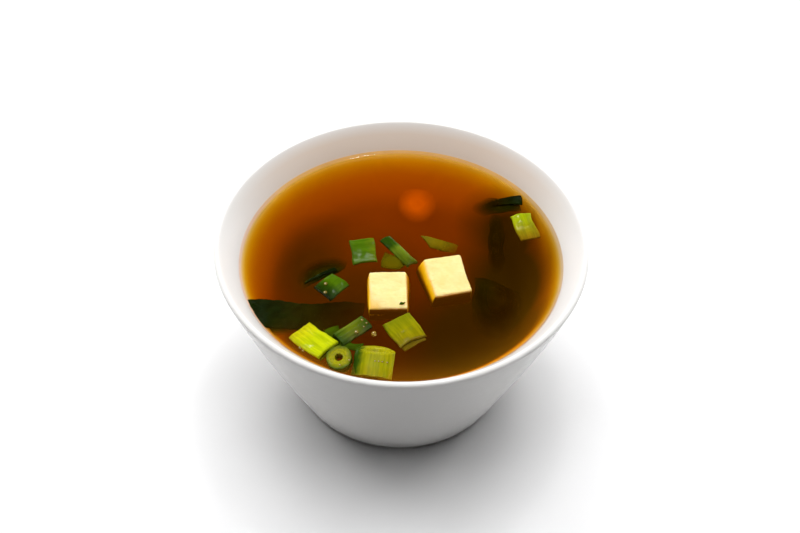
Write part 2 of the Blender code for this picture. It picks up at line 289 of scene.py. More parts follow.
# Bubbles and drops: x, y and height over the soup's level, radius, flattening
DROPS = {
    "bubble_afloat": ((-8.0, -32.5, 0.25), 0.85, 1.0),
    "bubble_on_leaf": ((-23.9, -12.3, 1.2), 0.65, 0.7),
    "drop_on_leaf": ((-23.9, -15.8, 0.95), 0.6, 0.6),
    "bubble_on_stalk": ((-13.4, -33.4, 1.9), 0.75, 0.8),
    "drop_on_stalk_end": ((-11.8, -29.0, 2.7), 0.45, 0.8),
    "drop_on_stalk_side": ((-10.4, -29.9, 2.3), 0.4, 0.8),
    "drop_on_stalk_edge": ((-11.2, -31.2, 2.05), 0.35, 0.8),
    "bubble_by_wall": ((-30.7, -38.9, 0.3), 0.5, 1.0),
    "small_bubble_by_wall": ((-29.7, -40.0, 0.25), 0.4, 1.0),
    "drop_on_ring": ((-15.2, -45.2, 2.35), 0.4, 0.8),
    "small_drop_on_ring": ((-18.0, -46.8, 1.75), 0.35, 0.8),
}
for i, (x, rise) in enumerate(((-7.3, 2.5), (-6.2, 2.45), (-5.1, 2.25), (-3.6, 1.95))):
    DROPS[f"drop_on_wide_ring_{i}"] = ((x, -45.6, rise), 0.35, 0.7)


def afloat(place, rise, turn):
    """The matrix that sets a piece over the soup's surface, in mm."""
    turned_by = Euler([math.radians(angle) for angle in turn]).to_matrix().to_4x4()
    return Matrix.Translation((*place, SOUP + rise)) @ turned_by


def uneven(point, at, lumps):
    """The point, moved by the unevenness that the noise has at a place."""
    moved = point.copy()
    for size, amount in lumps:
        moved += noise.noise_vector(at / size) * amount
    return moved


def smooth_step(value, low, high):
    run = min(max((value - low) / (high - low), 0), 1)
    return run * run * (3 - 2 * run)


def sheet(name, shape, thickness, steps, edge=0.5, matrix=Matrix()):
    """A thin solid with rounded edges about the surface shape(along, across), each -0.5 to 0.5."""
    columns, rows = steps
    nudge = 0.004

    def even(i, count):
        return 0.5 * math.sin(math.pi * (i / count - 0.5))

    length = (Vector(shape(0.5, 0)) - Vector(shape(-0.5, 0))).length
    width = (Vector(shape(0, 0.5)) - Vector(shape(0, -0.5))).length
    verts, upper, lower = [], {}, {}
    for i in range(columns + 1):
        for j in range(rows + 1):
            u, v = even(i, columns), even(j, rows)
            point = Vector(shape(u, v))
            run = Vector(shape(u + nudge, v)) - Vector(shape(u - nudge, v))
            rise = Vector(shape(u, v + nudge)) - Vector(shape(u, v - nudge))
            normal = run.cross(rise).normalized()
            from_edge = min((0.5 - abs(u)) * length, (0.5 - abs(v)) * width)
            if from_edge < 1e-6:
                upper[i, j] = lower[i, j] = len(verts)
                verts.append(matrix @ point)
                continue
            round_off = math.sqrt(1 - (1 - min(from_edge / edge, 1)) ** 2)
            for side, index in ((1, upper), (-1, lower)):
                index[i, j] = len(verts)
                verts.append(matrix @ (point + normal * side * round_off * thickness / 2))
    faces = []
    for i in range(columns):
        for j in range(rows):
            corners = ((i, j), (i + 1, j), (i + 1, j + 1), (i, j + 1))
            faces.append(tuple(upper[c] for c in corners))
            faces.append(tuple(lower[c] for c in reversed(corners)))
    return new_object(name, verts, faces)


def rounded_box(point, size, edge):
    """Moves a point on a box's skin on to the same box with rounded edges."""
    core = Vector([max(-s / 2 + edge, min(s / 2 - edge, c)) for s, c in zip(size, point)])
    out = point - core
    return core + out.normalized() * edge if out.length > 1e-6 else point


def tofu_block(name, block):
    """A hand-cut block as in the solid, with softer edges and a finer surface."""
    matrix = afloat(block.place, TOFU_RISE, (0, 0, block.yaw))
    start = Vector((*block.place, 0))
    size = Vector((block.width, block.depth, TOFU_HEIGHT))
    bm = bmesh.new()
    bmesh.ops.create_cube(bm, size=1)
    bmesh.ops.subdivide_edges(bm, edges=bm.edges[:], cuts=TOFU_CUTS, use_grid_fill=True)
    verts = []
    for vert in bm.verts:
        side, forward, up = vert.co
        spread = block.spread_left if side < 0 else block.spread_right
        spread *= (0.65 + 0.7 * forward) * math.sin(math.pi / 2 * (0.5 - up))
        point = rounded_box(vert.co * size, size, TOFU_EDGE)
        point.x += math.copysign(spread, side) * abs(side) * 2
        worn = block.worn_corner * smooth_step(-side - forward * 0.9, 0.35, 0.95) * (up > 0)
        point.z -= TOFU_HEIGHT / 2 + worn
        verts.append(matrix @ uneven(point, point + start, TOFU_LUMPS))
    faces = [tuple(v.index for v in face.verts) for face in bm.faces]
    bm.free()
    return new_object(name, verts, faces)


def scallion_leaf(name, leaf, thickness=LEAF_THICKNESS):
    """A length of flattened leaf, crowned across its fibres."""
    start = Vector((*leaf.place, 0))

    def shape(along, across):
        crown = leaf.arch * (0.5 - 4 * across * across)
        point = Vector((along * leaf.along, across * leaf.across, crown))
        return uneven(point, point + start, LEAF_LUMPS)

    matrix = afloat(leaf.place, leaf.rise, leaf.turn)
    return sheet(name, shape, thickness, (64, 52), thickness / 3, matrix)


def tube_section(tube):
    """The outline of a tube's wall: share of the way from the hole out, and place along it."""
    wall = (tube.outer[0] - tube.hole[0] + tube.outer[1] - tube.hole[1]) / 2
    share_rounded = CUT_ROUNDING / wall
    half = tube.length / 2
    straight = tube.length - 2 * CUT_ROUNDING
    layers, round_steps, cut_steps, outside_steps, hole_steps = 2.5, 6, 16, 24, 13
    outside, cut, hole = [], [], []
    for i in range(outside_steps + 1):
        outside.append((1.0, -half + CUT_ROUNDING + straight * i / outside_steps))
    for i in range(1, round_steps + 1):
        angle = math.pi / 2 * i / round_steps
        share = 1 - share_rounded * (1 - math.cos(angle))
        cut.append((share, half - CUT_ROUNDING * (1 - math.sin(angle))))
    for i in range(1, cut_steps + 1):
        share = 1 - share_rounded - (1 - 2 * share_rounded) * i / cut_steps
        groove = CUT_GROOVE * (0.5 - 0.5 * math.cos(share * 2 * math.pi * layers))
        cut.append((share, half - groove))
    for i in range(1, round_steps + 1):
        angle = math.pi / 2 * i / round_steps
        share = share_rounded * (1 - math.sin(angle))
        cut.append((share, half - CUT_ROUNDING * (1 - math.cos(angle))))
    for i in range(1, hole_steps):
        hole.append((0.0, half - CUT_ROUNDING - straight * i / hole_steps))
    return outside + cut + hole + [(share, -x) for share, x in reversed(cut)]


def scallion_tube(name, tube):
    """A hollow length of scallion with rounded cut edges and its layers showing at the cuts."""
    matrix = afloat(tube.place, tube.rise, tube.turn)
    start = Vector((*tube.place, 0))
    slope = math.tan(math.radians(tube.slant))
    ridges, ridge_height = 11, 0.06
    section = tube_section(tube)
    count = len(section)
    verts, faces = [], []
    for i in range(TUBE_SIDES):
        angle = 2 * math.pi * i / TUBE_SIDES
        for share, x in section:
            swell = ridge_height * math.sin(ridges * angle) * share
            y = (tube.hole[0] + (tube.outer[0] - tube.hole[0]) * share) * math.cos(angle)
            z = (tube.hole[1] + (tube.outer[1] - tube.hole[1]) * share) * math.sin(angle)
            lean = -z * slope * (x / tube.length + 0.5)
            point = Vector((x + lean, y, z)) + Vector((0, math.cos(angle), math.sin(angle))) * swell
            verts.append(matrix @ uneven(point, point + start, TUBE_LUMPS))
    for i in range(TUBE_SIDES):
        after = (i + 1) % TUBE_SIDES
        for k in range(count):
            m = (k + 1) % count
            faces.append((i * count + k, after * count + k, after * count + m, i * count + m))
    return new_object(name, verts, faces)


def long_frond(name):
    """The leaf that starts against the wall at the surface and sinks towards the middle."""
    wall = inner_radius(SOUP) + LONG_FROND_IN_WALL
    low, high = LONG_FROND_SIDES

    def shape(along, across):
        run = along + 0.5
        y = low + (high - low) * (across + 0.5) + 0.5 * math.sin(9 * run)
        x = -math.sqrt(wall * wall - y * y) * (1 - run) + LONG_FROND_END * run
        ripple = LONG_FROND_RUFFLE * math.sin(7 * run + 4 * across) * run
        roll = LONG_FROND_ROLL * (0.5 - across) * run
        point = Vector((x, y, ripple - LONG_FROND_SINK * run - roll))
        return uneven(point, point, LONG_FROND_LUMPS)

    matrix = afloat((0, 0), LONG_FROND_RISE, (0, 0, 0))
    return sheet(name, shape, WAKAME_THICKNESS, (150, 60), 0.45, matrix)


def sinking_frond(name, frond):
    """A narrow leaf with its broad end at the surface, which tapers as it sinks."""

    def shape(along, across):
        run = 0.5 - along
        taper = 1 - 0.6 * run
        y = across * frond.across * taper + 0.4 * math.sin(math.pi * run)
        point = Vector((along * frond.along, y, -frond.sink * run * run))
        return uneven(point, point, FROND_LUMPS)

    matrix = afloat(frond.place, frond.rise, frond.turn)
    return sheet(name, shape, WAKAME_THICKNESS, (90, 30), 0.4, matrix)


def patch(name, corners, thickness, steps, lumps=SUNK_LUMPS, arch=0.0):
    """A leaf between four corners (x, y, mm below the surface)."""
    a, b, c, d = [Vector((x, y, SOUP - depth)) for x, y, depth in corners]

    def shape(along, across):
        u, v = along + 0.5, across + 0.5
        point = (a * (1 - u) + d * u) * (1 - v) + (b * (1 - u) + c * u) * v
        point.z += arch * (1 - 4 * across * across)
        return uneven(point, point, (lumps,))

    return sheet(name, shape, thickness, steps, thickness / 2)


def ball(name, centre, radius, flatten):
    """A small bubble or drop, centre in mm."""
    bm = bmesh.new()
    bmesh.ops.create_uvsphere(bm, u_segments=32, v_segments=20, radius=radius)
    verts = [Vector(v.co) * Vector((1, 1, flatten)) + Vector(centre) for v in bm.verts]
    faces = [tuple(v.index for v in face.verts) for face in bm.faces]
    bm.free()
    return new_object(name, verts, faces)


# The broth rises by CLIMB_LIFT mm at a floating piece and falls off over CLIMB_REACH mm. It doesn't
# climb skin that is CLIMB_NONE mm over the soup's level or lower, and climbs fully from CLIMB_ALL
CLIMB_REACH, CLIMB_LIFT, CLIMB_NONE, CLIMB_ALL, CLIMB_SEARCH = 0.8, 0.25, -0.6, -0.1, 5


def climb(surface, pieces):
    """Draws the surface up against the pieces that float in it."""
    bm = bmesh.new()
    for piece in pieces:
        bm.from_mesh(piece.data)
    tree = BVHTree.FromBMesh(bm)
    bm.free()
    for vert in surface.data.vertices:
        if vert.co.z < (SOUP - 0.001) * MM:
            continue
        spot, normal = tree.find_nearest(vert.co, CLIMB_SEARCH * MM)[:2]
        if spot is None:
            continue
        gap = (spot - vert.co).length / MM
        inside = (vert.co - spot).dot(normal) < 0
        at_surface = smooth_step(spot.z / MM - SOUP, CLIMB_NONE, CLIMB_ALL)
        vert.co.z += CLIMB_LIFT * MM * at_surface * (1 if inside else math.exp(-gap / CLIMB_REACH))


# -------- node helpers
class Nodes:
    """A short way to write a material's node tree."""

    def __init__(self, name):
        self.start(bpy.data.materials.new(name), "ShaderNodeOutputMaterial", "Object")

    def start(self, owner, output, coordinates):
        self.owner = owner
        owner.use_nodes = True
        self.tree = owner.node_tree
        self.tree.nodes.clear()
        self.out = self.add(output)
        self.place = self.add("ShaderNodeTexCoord").outputs[coordinates]

    def add(self, kind, **settings):
        node = self.tree.nodes.new(kind)
        for key, value in settings.items():
            setattr(node, key, value)
        return node

    def put(self, socket, value):
        """Links a socket to the value, or sets it."""
        if isinstance(value, bpy.types.NodeSocket):
            self.tree.links.new(value, socket)
        elif isinstance(value, (tuple, list)) and socket.type == "RGBA" and len(value) == 3:
            socket.default_value = (*value, 1)
        else:
            socket.default_value = value

    def math(self, operation, a, b=0.0):
        node = self.add("ShaderNodeMath", operation=operation)
        self.put(node.inputs[0], a)
        self.put(node.inputs[1], b)
        return node.outputs[0]

    def times(self, product, *others):
        for value in others:
            product = self.math("MULTIPLY", product, value)
        return product

    def weighed(self, a, share, b):
        """A share of a, and for the rest b."""
        return self.math("ADD", self.times(a, share), self.times(b, 1 - share))

    def vmath(self, operation, a, b=(0, 0, 0)):
        node = self.add("ShaderNodeVectorMath", operation=operation)
        self.put(node.inputs[0], a)
        self.put(node.inputs[1], b)
        return node.outputs["Value" if operation in ("LENGTH", "DISTANCE", "DOT_PRODUCT") else 0]

    def mix(self, factor, a, b, blend="MIX"):
        node = self.add("ShaderNodeMix", data_type="RGBA", blend_type=blend, clamp_factor=True)
        self.put(node.inputs["Factor"], factor)
        colours = [socket for socket in node.inputs if socket.type == "RGBA"]
        self.put(colours[0], a)
        self.put(colours[1], b)
        return [socket for socket in node.outputs if socket.type == "RGBA"][0]

    def ramp(self, factor, stops):
        node = self.add("ShaderNodeValToRGB")
        elements = node.color_ramp.elements
        while len(elements) < len(stops):
            elements.new(0.5)
        for element, (position, colour) in zip(elements, stops):
            element.position = position
            element.color = (*colour, 1)
        self.put(node.inputs[0], factor)
        return node.outputs[0]

    def noise(self, scale, detail, roughness, vector=None, distortion=0.0):
        node = self.add("ShaderNodeTexNoise")
        self.put(node.inputs["Vector"], self.place if vector is None else vector)
        settings = {"Scale": scale, "Detail": detail, "Roughness": roughness, "Distortion": distortion}
        for name, value in settings.items():
            node.inputs[name].default_value = value
        return node.outputs[0]

    def local(self, place, rise, turn):
        """The coordinates of a piece afloat along its own axes, in mm."""
        node = self.add("ShaderNodeMapping", vector_type="TEXTURE")
        self.put(node.inputs["Vector"], self.place)
        node.inputs["Location"].default_value = (place[0] * MM, place[1] * MM, (SOUP + rise) * MM)
        node.inputs["Rotation"].default_value = [math.radians(a) for a in turn]
        node.inputs["Scale"].default_value = (MM, MM, MM)
        return node.outputs[0]

    def in_mm(self):
        """The place in mm."""
        return self.vmath("MULTIPLY", self.place, (1000, 1000, 1000))

    def normal(self):
        return self.add("ShaderNodeNewGeometry").outputs["Normal"]

    def parts(self, vector):
        """The x, y and z of a vector."""
        node = self.add("ShaderNodeSeparateXYZ")
        self.put(node.inputs[0], vector)
        return list(node.outputs)

    def height(self):
        """z in mm over the table."""
        return self.times(self.parts(self.place)[2], 1000.0)

    def depth(self):
        """How many mm a place lies under the soup's level."""
        return self.math("SUBTRACT", SOUP, self.height())

    def spread(self, value, low, high, to_low=0.0, to_high=1.0):
        """Takes low to high on to to_low to to_high, and stops there."""
        node = self.add("ShaderNodeMapRange", clamp=True)
        for socket, number in zip(list(node.inputs)[:5], (value, low, high, to_low, to_high)):
            self.put(socket, number)
        return node.outputs[0]

    def blob(self, centre, inner, outer):
        """1 within inner mm of a place, 0 beyond outer mm."""
        return self.spread(self.vmath("DISTANCE", self.in_mm(), centre), inner, outer, 1.0, 0.0)

    def haze(self, centre, reach):
        """1 in the middle of an ellipsoid, 0 from its skin on: what shows through cloudy broth."""
        away = self.vmath("DIVIDE", self.vmath("SUBTRACT", self.in_mm(), centre), reach)
        return self.spread(self.vmath("LENGTH", away), 0.3, 1.0, 1.0, 0.0)

    def bump(self, height, strength, distance_mm):
        node = self.add("ShaderNodeBump")
        node.inputs["Strength"].default_value = strength
        node.inputs["Distance"].default_value = distance_mm * MM
        self.put(node.inputs["Height"], height)
        return node.outputs[0]

    def shader(self, **inputs):
        node = self.add("ShaderNodeBsdfPrincipled")
        for name, value in inputs.items():
            self.put(node.inputs[name.replace("_", " ")], value)
        return node

    def blend(self, share, first, second):
        """A shader that goes from the first to the second as the share goes from 0 to 1."""
        node = self.add("ShaderNodeMixShader")
        self.put(node.inputs[0], share)
        self.put(node.inputs[1], first.outputs[0])
        self.put(node.inputs[2], second.outputs[0])
        return node

    def done(self, shader):
        self.put(self.out.inputs["Surface"], shader.outputs[0])
        return self.owner


class SkyNodes(Nodes):
    """The same for the world's node tree, where a place is a direction."""

    def __init__(self, name):
        world = bpy.data.worlds.new(name)
        bpy.context.scene.world = world
        self.start(world, "ShaderNodeOutputWorld", "Generated")

    def background(self, strength):
        node = self.add("ShaderNodeBackground")
        self.put(node.inputs["Color"], (1, 1, 1))
        self.put(node.inputs["Strength"], strength)
        return node


# -------- how things look in the broth
# Red, green and blue fade with depth as a sum of terms: share, and rate per mm
FADE_RED = ((0.25, 0.35), (0.75, 0.058))
FADE_GREEN = ((0.75, 0.33), (0.25, 0.075))
FADE_BLUE = ((1.0, 1.3),)
MURK, MURK_RATE = (0.055, 0.012, 0.0), 0.10
# The broth's tones, painted as a glow on the tofu where it is shaded or deep
BROTH_TONE, BROTH_EDGE_TONE = (0.05, 0.0135, 0.0), (0.085, 0.024, 0.001)
BROTH_IOR = 1.33


def seen_in_broth(nodes, own, murk_share=1.0):
    """The colour of a surface as the broth over it tints it: blue goes first, then green."""
    depth = nodes.math("MAXIMUM", nodes.depth(), 0.0)

    def fade(terms):
        total = None
        for share, rate in terms:
            part = nodes.times(nodes.math("POWER", math.exp(-rate), depth), share)
            total = part if total is None else nodes.math("ADD", total, part)
        return total

    passed = nodes.add("ShaderNodeCombineColor")
    for socket, terms in zip(passed.inputs, (FADE_RED, FADE_GREEN, FADE_BLUE)):
        nodes.put(socket, fade(terms))
    tinted = nodes.mix(1.0, own, passed.outputs[0], "MULTIPLY")
    glow = nodes.math("SUBTRACT", 1.0, nodes.math("POWER", math.exp(-MURK_RATE), depth))
    murk = nodes.mix(glow, (0, 0, 0), [part * murk_share for part in MURK])
    return nodes.mix(1.0, tinted, murk, "ADD")


# -------- materials
PORCELAIN_IOR = 1.5


def porcelain():
    """White glaze; the broth throws a painted warm light on the wall behind it, and the foot ring is bare.
    """
    n = Nodes("porcelain_glaze")
    cloud = n.noise(14, 4, 0.55)
    fine = n.noise(420, 3, 0.6)
    colour = n.ramp(cloud, [(0.3, (0.86, 0.845, 0.825)), (0.75, (0.89, 0.875, 0.855))])
    y, z = n.parts(n.in_mm())[1:]
    # Painted warm light: the far inner wall below the rim is tinted warmer and darker, as the broth would
    # light it
    facing_in = n.spread(n.vmath("DOT_PRODUCT", n.normal(), (0, 1, 0)), 0.1, -0.5)
    warm = n.times(facing_in, n.spread(y, 5, 48), n.spread(z, BOWL_HEIGHT + 0.5, BOWL_HEIGHT - 3))
    colour = n.mix(warm, colour, n.mix(1.0, colour, (0.93, 0.80, 0.69), "MULTIPLY"))
    colour = n.mix(n.spread(z, 0.35, 0.9), (0.52, 0.49, 0.45), colour)
    rough = n.spread(fine, 0.3, 0.7, 0.14, 0.2)
    rough = n.math("ADD", rough, n.spread(z, 0.35, 0.9, 0.5, 0.0))
    bump = n.bump(n.weighed(n.noise(95, 2, 0.5), 0.7, fine), 0.06, 0.25)
    return n.done(n.shader(Base_Color=colour, Roughness=rough, Normal=bump, IOR=PORCELAIN_IOR))


# Painted light: the glow that stands in for the light the cloud of miso scatters, by the share of
# SCATTER_DEPTH mm under the surface
SCATTER_DEPTH = 50
SCATTERED_LIGHT = [
    (0.0, (0.12, 0.04, 0.0)),
    (0.07, (0.2, 0.06, 0.0)),
    (0.2, (0.16, 0.03, 0.0)),
    (0.36, (0.135, 0.022, 0.0)),
    (0.52, (0.062, 0.012, 0.0)),
    (0.95, (0.034, 0.0055, 0.0)),
]
# Where weed hangs in the broth, the wall behind it is painted dark, for the weed blurred and the shade it
# casts: place, inner and outer reach in mm, share
WEED_SHADES = [
    ((40, 26, 32), 10, 25, 0.95),
    ((39, 6, 24), 15, 34, 0.95),
    ((42, -20, 32), 10, 26, 0.8),
    ((28, -8, 10), 16, 34, 0.8),
    ((-32, 18, 16), 8, 26, 0.6),
    ((-14, 14, 7), 6, 30, 0.5),
]


def broth_lining():
    """The wall and floor as seen through the broth, with painted light for what its cloud of miso spreads,
    and painted shade on the near half, the sides and where weed hangs.
    """
    n = Nodes("broth_depths")
    wisps = n.noise(60, 4, 0.6, distortion=1.2)
    own = n.ramp(wisps, [(0.3, (0.76, 0.50, 0.20)), (0.7, (0.86, 0.58, 0.23))])
    x, y = n.parts(n.place)[:2]
    # Painted shade: darker on the near half and the right side, and less red on the left side
    own = n.mix(n.spread(y, 28 * MM, -6 * MM), own, (0.50, 0.25, 0.06))
    own = n.mix(n.spread(x, 38 * MM, 52 * MM), own, (0.52, 0.45, 0.31))
    own = n.mix(n.spread(x, -38 * MM, -52 * MM), own, (0.67, 0.57, 0.50))
    # Painted light: the lining glows, most just under the surface
    glow = n.ramp(n.spread(n.depth(), 0, SCATTER_DEPTH), SCATTERED_LIGHT)
    # Painted light: more glow low on the far wall
    glow = n.mix(n.blob((0, 48, 20), 12, 46), glow, (0.07, 0.008, 0.0), "ADD")
    # Painted shade: a darker glow and colour where weed hangs
    shade = 0.0
    for place, inner, outer, share in WEED_SHADES:
        shade = n.math("MAXIMUM", shade, n.times(n.blob(place, inner, outer), share))
    glow = n.mix(shade, glow, (0.02, 0.0075, 0.0))
    tinted = n.mix(shade, seen_in_broth(n, own), (0.02, 0.012, 0.0))
    return n.done(n.shader(
        Base_Color=tinted, Roughness=0.9, Emission_Color=glow, Emission_Strength=1.0,
        Specular_IOR_Level=0.0))


# The milky margin, painted light where the bright wall lights the broth's cloud: its strength on the near
# side, and how many mm from the wall it fades in
PAINTED_MILK_MARGIN, PAINTED_MILK_REACH = 0.11, 4.5
LONG_FROND_AT_WALL = (-45.0, -23.5, SOUP)
# The edge that climbs the wall behind catches the light in two fine lines of painted highlight: mm from
# wall, width, share
EDGE_LINES = ((-0.45, 0.35, 0.55), (1.15, 0.4, 0.3))


def painted_milk_share(n):
    """How milky the surface is, as painted light: most by the near wall, least at the long frond, and in
    two painted highlight lines behind.
    """
    x, y = n.parts(n.in_mm())[:2]
    flat = n.add("ShaderNodeCombineXYZ")
    n.put(flat.inputs[0], x)
    n.put(flat.inputs[1], y)
    from_wall = n.math("SUBTRACT", inner_radius(SOUP), n.vmath("LENGTH", flat.outputs[0]))
    # Painted light: the milky margin fades in over a few mm from the wall
    painted_milk = n.math("POWER", math.exp(-1 / PAINTED_MILK_REACH), n.math("MAXIMUM", from_wall, 0.0))
    off_frond = n.math("SUBTRACT", 1.0, n.blob(LONG_FROND_AT_WALL, 7.0, 20.0))
    painted_milk = n.times(painted_milk, n.spread(y, -20, 20, PAINTED_MILK_MARGIN, 0.0), off_frond)
    # Painted highlight: two fine lines along the wall behind
    for place, width, share in EDGE_LINES:
        off_line = n.math("ABSOLUTE", n.math("SUBTRACT", from_wall, place))
        line = n.spread(off_line, 0.0, width, share, 0.0)
        painted_milk = n.math("ADD", painted_milk, n.times(line, n.spread(y, 5, 30)))
    return painted_milk


def clear_broth():
    """The clear liquid, with a milky margin of painted light where the bright wall lights its cloud of
    miso, and two painted highlight lines behind.
    """
    n = Nodes("broth_surface")
    drift = n.noise(35, 2, 0.5)
    tint = n.ramp(drift, [(0.3, (0.97, 0.95, 0.9)), (0.7, (1.0, 0.985, 0.95))])
    liquid = n.shader(
        Base_Color=tint, Normal=n.bump(drift, 0.05, 0.5), Roughness=0.02, IOR=BROTH_IOR,
        Transmission_Weight=1.0)
    cloud = n.add("ShaderNodeBsdfDiffuse")
    n.put(cloud.inputs["Color"], n.ramp(drift, [(0.3, (0.90, 0.38, 0.015)), (0.7, (1.0, 0.44, 0.02))]))
    # Painted light: the milky margin and the highlight lines, mixed in as a diffuse amber layer
    milky = n.blend(painted_milk_share(n), liquid, cloud)
    # Light from the lamps reaches what is sunk, without a trace of the surface in between
    path = n.add("ShaderNodeLightPath")
    open_to = n.math("MAXIMUM", path.outputs["Is Shadow Ray"], path.outputs["Is Diffuse Ray"])
    return n.done(n.blend(open_to, milky, n.add("ShaderNodeBsdfTransparent")))


def tofu():
    """Soft pale curd, whose near sides are painted dark in the broth and whose left sides have a painted
    glow in it.
    """
    n = Nodes("tofu_curd")
    cloud = n.noise(260, 4, 0.6)
    pits = n.noise(1500, 3, 0.6)
    stretched = n.vmath("MULTIPLY", n.place, (230, 900, 600))
    creases = n.noise(1.0, 4, 0.65, stretched, 0.8)
    own = n.ramp(cloud, [(0.3, (0.86, 0.66, 0.26)), (0.7, (0.93, 0.76, 0.36))])
    own = n.mix(n.spread(creases, 0.58, 0.70, 0, 0.5), own, (0.80, 0.52, 0.14))
    # Little light comes back through the broth from the near sides, and much from the left ones: painted
    # shade makes the near sides, and what is deep, black with the broth's tone as a glow, and a painted
    # orange glow lights the left sides
    normal = n.parts(n.normal())
    sunk = n.depth()
    near = n.times(n.spread(normal[1], -0.35, -0.8), n.spread(sunk, 0.0, 0.9))
    near = n.math("MAXIMUM", near, n.spread(sunk, 3.5, 6.5))
    own = n.mix(n.spread(sunk, -0.45, 0.1, 0, 0.6), own, (0.86, 0.48, 0.08))
    left = n.times(n.spread(normal[0], -0.4, -0.9), n.spread(sunk, 5.5, 2.0), n.spread(sunk, -0.4, 0.2))
    colour = n.mix(near, seen_in_broth(n, own), (0.0, 0.0, 0.0))
    painted_glow = n.mix(left, (0, 0, 0), (0.46, 0.27, 0.0))
    painted_glow = n.mix(near, painted_glow, n.mix(n.spread(sunk, 0.6, 2.4), BROTH_EDGE_TONE, BROTH_TONE))
    height = n.weighed(pits, 0.4, creases)
    return n.done(n.shader(
        Base_Color=colour, Normal=n.bump(height, 0.5, 0.12), Emission_Color=painted_glow,
        Emission_Strength=1.0, Roughness=0.35, Specular_IOR_Level=0.25, Subsurface_Weight=0.4,
        Subsurface_Radius=(1.0, 0.7, 0.3), Subsurface_Scale=0.0025))


def wet_above(n, wet):
    """Roughness: matt under the surface and wet over it."""
    return n.spread(n.height(), SOUP - 0.3, SOUP + 0.2, 0.9, wet)


# Fibres, veins and patches per mm along, across and through a piece of scallion, and how far the
# patches move its tones, in mm, and the edge of its dark skin and painted shade, as a share of that edge's
# width
FIBRE_PITCH, VEIN_PITCH, PATCH_PITCH = (0.09, 1.6, 1.6), (0.25, 4.5, 4.5), (0.35, 0.35, 0.35)
TONE_WANDER, SKIN_AND_SHADE_WANDER = 4.0, 3.0 / 2.2
DARK_GREEN = (0.016, 0.06, 0.003)


def scallion(name, piece, stops, dark_skin_and_shade):
    """Wet leaf: its colour runs along the piece through stops, with fibres the same way."""
    n = Nodes(name)
    own_axes = n.local(piece.place, piece.rise, piece.turn)
    along, across, up = n.parts(own_axes)
    half = (piece.along if isinstance(piece, Leaf) else piece.length) / 2
    fibres = n.noise(1.0, 3, 0.55, n.vmath("MULTIPLY", own_axes, FIBRE_PITCH))
    veins = n.noise(1.0, 2, 0.5, n.vmath("MULTIPLY", own_axes, VEIN_PITCH))
    patchy = n.noise(1.0, 3, 0.6, n.vmath("MULTIPLY", own_axes, PATCH_PITCH))

    def wander(value, amount):
        return n.math("ADD", value, n.times(n.math("SUBTRACT", patchy, 0.5), amount))

    own = n.ramp(n.spread(wander(along, TONE_WANDER), -half, half), stops)
    darker = n.mix(1.0, own, (0.45, 0.55, 0.3), "MULTIPLY")
    own = n.mix(n.spread(fibres, 0.42, 0.62, 0, 0.5), own, darker)
    brighter = n.mix(1.0, own, (1.25, 1.2, 1.0), "MULTIPLY")
    own = n.mix(n.spread(veins, 0.55, 0.75, 0, 0.3), own, brighter)
    # Dark green skin towards one side or out from the axis; on the leaves' lower side and edges it is also
    # painted shade
    axis, low, high, share = dark_skin_and_shade
    out = n.vmath("LENGTH", n.vmath("MULTIPLY", own_axes, (0, 1, 1)))
    reach = wander({"y": across, "z": up, "out": out}[axis], SKIN_AND_SHADE_WANDER * abs(high - low))
    own = n.mix(n.spread(reach, low, high, 0, share), own, DARK_GREEN)
    height = n.weighed(fibres, 0.7, veins)
    return n.done(n.shader(
        Base_Color=seen_in_broth(n, own), Normal=n.bump(height, 0.4, 0.2),
        Roughness=wet_above(n, 0.16), Specular_IOR_Level=0.3))


def sunk_leaf(name, tones, murk=1.0, haze=None):
    """A leaf under the surface; haze is the middle and the reach of what shows of it."""
    n = Nodes(name)
    cloud = n.noise(180, 4, 0.6)
    own = n.ramp(cloud, [(0.3, tones[0]), (0.7, tones[1])])
    rough = n.spread(cloud, 0.3, 0.7, 0.6, 0.8)
    shader = n.shader(Base_Color=seen_in_broth(n, own, murk), Roughness=rough, Specular_IOR_Level=0.0)
    if haze:
        n.put(shader.inputs["Alpha"], n.haze(*haze))
    return n.done(shader)


def deep_curd():
    """A block well under the surface, no more than a blurred, painted glow through the cloudy broth: black,
    glowing in place of lit curd.
    """
    n = Nodes("tofu_deep")
    cloud = n.noise(150, 3, 0.5)
    middle = [sum(corner[axis] for corner in DEEP_TOFU) / 4 for axis in (0, 1)]
    top = SOUP - DEEP_TOFU[0][2] + DEEP_TOFU_THICKNESS / 2
    # Painted light: the curd is black and glows in place of being lit
    painted_curd_glow = n.ramp(cloud, [(0.3, (0.52, 0.07, 0.0)), (0.7, (0.62, 0.088, 0.0))])
    return n.done(n.shader(
        Base_Color=(0.0, 0.0, 0.0), Emission_Color=painted_curd_glow, Emission_Strength=1.0,
        Alpha=n.haze((*middle, top), DEEP_TOFU_REACH), Roughness=0.9, Specular_IOR_Level=0.0))


def wakame(name, haze=None):
    """Dark wet leaf; haze is the middle and the reach of what shows of a sinking one."""
    n = Nodes(name)
    cloud = n.noise(220, 5, 0.65, distortion=0.6)
    grain = n.noise(1400, 3, 0.6)
    tones = [(0.3, (0.003, 0.006, 0.001)), (0.6, (0.007, 0.013, 0.001)), (0.8, (0.016, 0.022, 0.002))]
    height = n.weighed(cloud, 0.7, grain)
    shader = n.shader(
        Base_Color=seen_in_broth(n, n.ramp(cloud, tones)), Normal=n.bump(height, 0.35, 0.2),
        Roughness=wet_above(n, 0.2), Specular_IOR_Level=0.06)
    if haze:
        n.put(shader.inputs["Alpha"], n.haze(*haze))
    return n.done(shader)


# A drop's painted glint sits at its top, a little to the left and the front
PAINTED_GLINT_SIDE = (-0.25, -0.2, 0.947)


